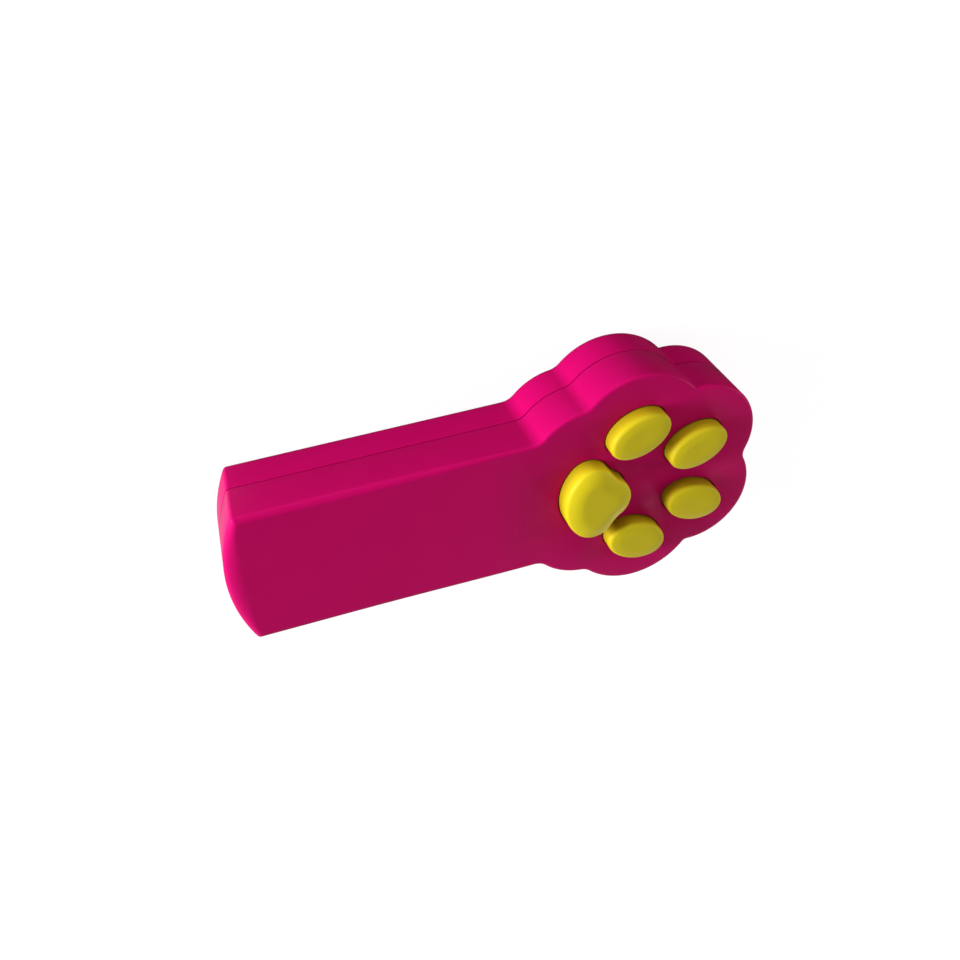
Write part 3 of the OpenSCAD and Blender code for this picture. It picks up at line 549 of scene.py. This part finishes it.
mask_green = material(
    "board_green", tracked((0.010, 0.085, 0.030), (0.026, 0.150, 0.055)), wavering(0.30, 0.1, 2.0),
    grained(0.5, 0.004))
switch_black = material(
    "switch_black", mottled((0.012, 0.012, 0.013), (0.022, 0.022, 0.024), 1.0), wavering(0.42, 0.12, 1.0),
    grained(0.2, 0.006))
steel = material(
    "screw_steel", mottled((0.50, 0.50, 0.50), (0.62, 0.62, 0.61), 1.0), wavering(0.28, 0.16, 0.6),
    grained(0.25, 0.005), Metallic=1.0)
red_pvc = material(
    "wire_red", mottled((0.46, 0.012, 0.010), (0.56, 0.020, 0.016), 2.0), wavering(0.40, 0.1, 2.0),
    grained(0.4, 0.004))
dress(mask_green, "circuit_board", "driver_board")
dress(switch_black, *[n for n in nodes if n.startswith(("switch_", "plunger_"))])
dress(steel, "board_screws", "shell_screws", "door_screws")
dress(red_pvc, "laser_leads", "battery_leads")

# Laser
# A turned brass barrel holds the diode, a moulded lens and the ring that sets its focus, on the axis
# behind the notch between the front lobes. A clear acrylic disc in the front wall keeps dust out.
tool_marks = 24.0
brass = material(
    "barrel_brass", mottled((0.66, 0.42, 0.13), (0.78, 0.52, 0.18), 1.6), wavering(0.26, 0.14, 0.7),
    lambda start: start.bump(start.math("SINE", start.along("X") * tool_marks), 0.004), Metallic=1.0)
clear = material(
    "lens_clear", mottled((0.92, 0.94, 0.95), (0.97, 0.98, 0.98), 2.0), wavering(0.06, 0.05, 1.5),
    grained(0.8, 0.001), Transmission_Weight=1.0, IOR=1.49)
dress(brass, "laser_barrel", "lens_nut")
dress(nickel, "laser_diode")
dress(clear, "collimating_lens", "front_window")

# Front shell
# The upper half of the casing, moulded in the same pink ABS. It drops over the lip of the rear shell and
# leaves a fine joint line round the side, and its face has five close holes for the keys.
key_gap = 0.25
face_in = case_t - wall
palm_front, palm_front_r = np.array([paw_x + 2.9, 0.0]), 5.3
palm_rear, palm_rear_r = np.array([paw_x - 0.6, 4.2]), 5.0
palm_back_r, palm_flank_r = 11.2, 8.7
palm_back = np.array([palm_rear[0] + np.sqrt((palm_back_r - palm_rear_r) ** 2 - palm_rear[1] ** 2), 0.0])
palm_flank = hollow(palm_rear, palm_rear_r, palm_front, palm_front_r, palm_flank_r)
# Half length, half width and turn in degrees of the toe keys, the outer ones being those beyond outer_y
toe_axes = {"outer": (7.2, 4.9, 22.0), "inner": (7.0, 4.7, 19.0)}
outer_y, toe_step = 11, 3
key_nodes = ["palm_key", "toe_key_1", "toe_key_2", "toe_key_3", "toe_key_4"]


def palm_outline(offset):
    """The palm key's plan, set out: round rear edge, two rear lobes, hollow flanks and a round tip."""
    to_rear, to_flank = heading(palm_back, palm_rear), heading(palm_rear, palm_flank)
    from_rear, to_front = heading(palm_flank, palm_rear), heading(palm_flank, palm_front)
    return mirrored(np.concatenate([
        arc(palm_back, palm_back_r + offset, 180, to_rear, 24),
        arc(palm_rear, palm_rear_r + offset, to_rear, to_flank, 30)[1:],
        arc(palm_flank, palm_flank_r - offset, from_rear, to_front, 16)[1:],
        arc(palm_front, palm_front_r + offset, heading(palm_front, palm_flank), 0, 30)[1:]]))


def toe_outline(node, offset):
    """An ellipse about the middle of a toe key's box, set out square to its edge and turned in plan."""
    low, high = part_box(node)
    middle = (np.array(low) + np.array(high))[:2] / 2 / mm
    a, b, turn = toe_axes["outer" if abs(middle[1]) > outer_y else "inner"]
    t = np.radians(np.arange(0, 360, toe_step))
    normal_length = np.hypot(b * np.cos(t), a * np.sin(t))
    x, y = (a + offset * b / normal_length) * np.cos(t), (b + offset * a / normal_length) * np.sin(t)
    way = np.radians(np.sign(middle[1]) * turn)
    return middle + np.stack([x * np.cos(way) - y * np.sin(way), x * np.sin(way) + y * np.cos(way)], 1)


def key_outline(node, offset):
    """The plan of any key, set out by an offset."""
    return palm_outline(offset) if node == "palm_key" else toe_outline(node, offset)


def smooth(t):
    """Rises from 0 to 1 with level ends."""
    t = np.clip(t, 0, 1)
    return t * t * (3 - 2 * t)


# The face's edge is crisp round the paw, softer along the handle, and rolls off over more at the end
paw_edge_r, end_run = 0.8, 3.6
drop = paw_edge_r + (handle_edge_r - paw_edge_r) * smooth(2 * (neck_c[0] - half_x) / (paw_x - tail_x))
run = drop + (end_run - handle_edge_r) * smooth((corner_x - half_x) / (corner_x - half_x[0])) ** 2
front_low = parting_z + slit
rebate, rebate_top = wall - lip_t - slip, parting_z + lip_h + 0.1
edge_lead, face_lead = 0.3, 0.25
front_profile = np.concatenate([
    [[wall, face_in], [wall, rebate_top], [rebate, rebate_top], [rebate, front_low]],
    np.stack([round_parting[::-1, 0], front_low + parting_r - round_parting[::-1, 1]], 1)])
front = Skin()
rings = [casing_ring(inset, z) for inset, z in front_profile]
for ring in rings:
    ring[:, 2] = np.maximum(ring[:, 2], parting_z + mouth(ring))
rings += [casing_ring(0, case_t - drop - edge_lead)]
rings += [casing_ring(q * run, case_t - drop * (1 - h)) for q, h in quarter(1, 14)]
rings += [casing_ring(run + face_lead, case_t)]
front.strip(rings)
front.flat([rings[0][:, :2]] + [key_outline(n, key_gap) for n in key_nodes]
           + [small_circle(p, boss_r) for p in shell_screw_at], face_in, -1)
front.flat([rings[-1][:, :2]] + [key_outline(n, key_gap + rim_r) for n in key_nodes], case_t, 1)
for n in key_nodes:
    front.strip([level(key_outline(n, key_gap + q), case_t - rim_r + h) for q, h in rim[::-1]] + [
        level(key_outline(n, key_gap), face_in)])
# Inside it has bosses for the screws, ribs that keep the cells down, and saddles over the laser
front_pilot_r, front_pilot_z = 1.15, face_in - wall
boss_foot = parting_z + slip
for p in shell_screw_at:
    front.turned(p, [(0, front_pilot_z), (front_pilot_r, front_pilot_z), (front_pilot_r, boss_foot),
                     (boss_r, boss_foot), (boss_r, face_in)])
root_top = face_in + root
rib_half, rib_t, rib_inset = 14.1, 1.5, 10
cell_z, scoop_r = 7.4, 5.6
scoop_turn = np.degrees(np.arcsin((parting_z - cell_z) / scoop_r))
cell_rib = np.concatenate([[[-rib_half, parting_z]]] + [
    arc((y, cell_z), scoop_r, 180 - scoop_turn, scoop_turn, scoop_points) for y in (-cell_y, cell_y)] + [
    [[rib_half, parting_z], [rib_half, root_top], [-rib_half, root_top]]])
for x in (bay_faces[0] + rib_inset, sum(bay_faces) / 2, bay_faces[1] - rib_inset):
    front.slab(cell_rib, x, rib_t)
web_half, web_z = 1.3, 15.4
saddle_high = np.concatenate([
    [[-saddle_half, boss_foot]], arc((0, boss_foot), barrel_r + slip, 180, 0, scoop_points),
    [[saddle_half, boss_foot], [saddle_half, web_z], [web_half, web_z], [web_half, root_top],
     [-web_half, root_top], [-web_half, web_z], [-saddle_half, web_z]]])
for x in saddle_x:
    front.slab(saddle_high, x, saddle_t)
front.make("front_half", "housing", "casing_pink", pink_abs, "front_shell")

# Keys
# Five push keys moulded in lime ABS, one palm pad and four toe pads, each with a flange that keeps it
# under the face and a post that bears on its switch. Their tops are crowned, and the toes' show sink marks.
# Height above the face over which the painted shade round each key's foot fades out
foot_shade_h = 4.5


def shaded_at_foot(foot, low, high, size):
    """A mottled colour with painted shade: darker round the foot of a key, clearing towards its top."""
    return lambda start: start.mix(
        start.ramp(start.along("Z"), case_t, case_t + foot_shade_h), foot, start.patches(low, high, size))


# The keys' lime carries painted shade: it is darker round each key's foot and clears towards the top
lime_abs = material(
    "key_lime", shaded_at_foot((0.40, 0.30, 0.004), (0.74, 0.60, 0.008), (0.78, 0.64, 0.012), 6.0),
    wavering(0.52, 0.08, 4.0), grained(0.35, 0.004), Specular_IOR_Level=0.15)
flange_z, flange_top, flange = 16.9, 17.9, 1.0
post_z, post_r = 15.5, 2.0
sink_r = 1.2
# Rise above the face, edge rounding, rise and width of the crowned border, depth of the sink mark
palm_sizes, toe_sizes = (5.1, 1.1, 0.9, 3.4, 0.0), (3.8, 1.0, 0.25, 2.2, 0.04)
for n in key_nodes:
    rise, key_edge_r, crown, crown_w, sink = palm_sizes if n == "palm_key" else toe_sizes
    top = case_t + rise
    # The edge turns as far as the slope at which the crown begins
    turn = np.pi / 2 - np.arctan(2 * crown / crown_w)
    turned = np.linspace(0, turn, 11)
    edge = np.stack([key_edge_r * (1 - np.cos(turned)),
                     top - crown + key_edge_r * (np.sin(turned) - np.sin(turn))], 1)
    share = np.linspace(0, 1, 15)[1:]
    crowned = np.stack([edge[-1, 0] + crown_w * share, top - crown * (1 - share) ** 2], 1)
    rings = [level(key_outline(n, flange), flange_z), level(key_outline(n, flange), flange_top),
             level(key_outline(n, 0), flange_top), level(key_outline(n, 0), edge[0, 1] - edge_lead)]
    rings += [level(key_outline(n, -inset), z) for inset, z in np.concatenate([edge, crowned])]
    flat_top = rings[-1][:, :2]
    middle = (flat_top.min(0) + flat_top.max(0)) / 2
    for s in np.linspace(0.9, 0.0, 10):
        spread = np.hypot(*((flat_top - middle) * s).T)
        rings.append(level(middle + (flat_top - middle) * s, top - sink * np.exp(-(spread / sink_r) ** 2)))
    key = Skin()
    key.strip(rings)
    post = small_circle(middle, post_r)
    key.flat([key_outline(n, flange), post], flange_z, -1)
    key.strip([level(post, post_z), level(post, flange_z)])
    key.flat([post], post_z, -1)
    body = "palm_key" if n == "palm_key" else n.replace("toe_key_", "toe_") + "_key"
    key.make(n + "_cap", body, "key_lime", lime_abs, n)

# Battery door
# A flat moulded plate of the same pink ABS, let into the back a little below flush over the cells. Two
# captive screws in round wells hold it to bosses at either end of the bay.
door_z0, door_z1 = 0.2, 1.8
head_well_r, head_well_z, shank_hole_r = 2.05, 1.1, 1.15
door = Skin()
door.strip([level(door_outline(-q), door_z0 + rim_r - h) for q, h in rim[::-1]] + [
    level(door_outline(0), door_z1)])
wells = [circle(p, head_well_r) for p in door_screw_at]
shank_holes = [small_circle(p, shank_hole_r) for p in door_screw_at]
door.flat([door_outline(-rim_r)] + wells, door_z0, -1)
door.flat([door_outline(0)] + shank_holes, door_z1, 1)
for well, hole in zip(wells, shank_holes):
    door.strip([level(well, head_well_z), level(well, door_z0)])
    door.flat([well, hole], head_well_z, -1)
    door.strip([level(hole, door_z1), level(hole, head_well_z)])
door.make("door_plate", "door", "casing_pink", pink_abs, "battery_door")

# Table and lights
# A white table top under a white sky, with a strong soft lamp low beyond the handle's end and three weak ones
# round the other sides. Reflections see the table dimmer than the camera does, but for a pool of light by
# the handle's end.
bpy.context.scene.view_settings.view_transform = "Standard"


def ray(start, kind):
    """1 where the ray that arrives is of a kind, 0 where it isn't."""
    return start.node("ShaderNodeLightPath", {}, {}, f"Is {kind} Ray")


table_half = 3.0
cloth_size = 40.0
table_glow = 0.88
pool_from, pool_to = -45.0, -68.0
white = bpy.data.materials.new("table_white")
white.use_nodes = True
start = Wire(white.node_tree)
seen = start.math("MAXIMUM", ray(start, "Camera"), ray(start, "Transmission"))
paint = start.mix(start.noise(cloth_size), (0.27, 0.27, 0.27), (0.29, 0.29, 0.29))
matt = start.node("ShaderNodeBsdfDiffuse", {}, {"Color": paint})
glow = start.node("ShaderNodeEmission", {}, {"Color": (1, 1, 1, 1), "Strength": table_glow})
lit = start.node("ShaderNodeAddShader", {}, {0: matt, 1: glow})
to_pool = start.ramp(start.along("X"), pool_from, pool_to)
pool = start.node("ShaderNodeEmission", {}, {"Color": start.mix(to_pool, (0.0, 0.0, 0.0), (0.4, 0.4, 0.4))})
dull = start.node("ShaderNodeBsdfDiffuse", {}, {"Color": (0.1, 0.1, 0.1, 1)})
dim = start.node("ShaderNodeAddShader", {}, {0: dull, 1: pool})
shown = start.node("ShaderNodeMixShader", {}, {0: seen, 1: dim, 2: lit})
start.feed(white.node_tree.nodes["Material Output"].inputs["Surface"], shown)
table = bpy.data.meshes.new("table")
table.from_pydata([(-table_half, -table_half, 0), (table_half, -table_half, 0), (table_half, table_half, 0),
                   (-table_half, table_half, 0)], [], [(0, 1, 2, 3)])
table.materials.append(white)
table_top = bpy.data.objects.new("table", table)
bpy.context.scene.collection.objects.link(table_top)


def lamp(name, place, width, watts, colour=(1.0, 1.0, 1.0)):
    """A square area lamp at a place, turned to face the middle of the casing; places in millimetres."""
    light = bpy.data.lights.new(name, "AREA")
    light.energy = watts
    light.color = colour
    light.size = width * mm
    held = bpy.data.objects.new(name, light)
    held.location = np.array(place) * mm
    held.rotation_euler = Vector(np.array(lamp_aim) - place).to_track_quat("-Z", "Y").to_euler()
    bpy.context.scene.collection.objects.link(held)


lamp_aim = (0.0, 0.0, 10.0)
lamp("key", (-656, 151, 95), 230, 7.4, (0.97, 0.97, 1.18))
lamp("front", (0, 646, 78), 150, 1.0)
lamp("back", (323, -560, 78), 150, 0.55)
lamp("right", (611, 0, 222), 220, 0.8)
# The sky is white wherever it is seen, and weaker where it only lights
sky_light = 0.29
world = bpy.data.worlds.new("sky")
bpy.context.scene.world = world
world.use_nodes = True
start = Wire(world.node_tree)
seen = start.math("MAXIMUM", ray(start, "Camera"), start.math(
    "MAXIMUM", ray(start, "Glossy"), ray(start, "Transmission")))
strength = sky_light + (1 - sky_light) * seen
sky = start.node("ShaderNodeBackground", {}, {"Color": (1, 1, 1, 1), "Strength": strength})
start.feed(world.node_tree.nodes["World Output"].inputs["Surface"], sky)
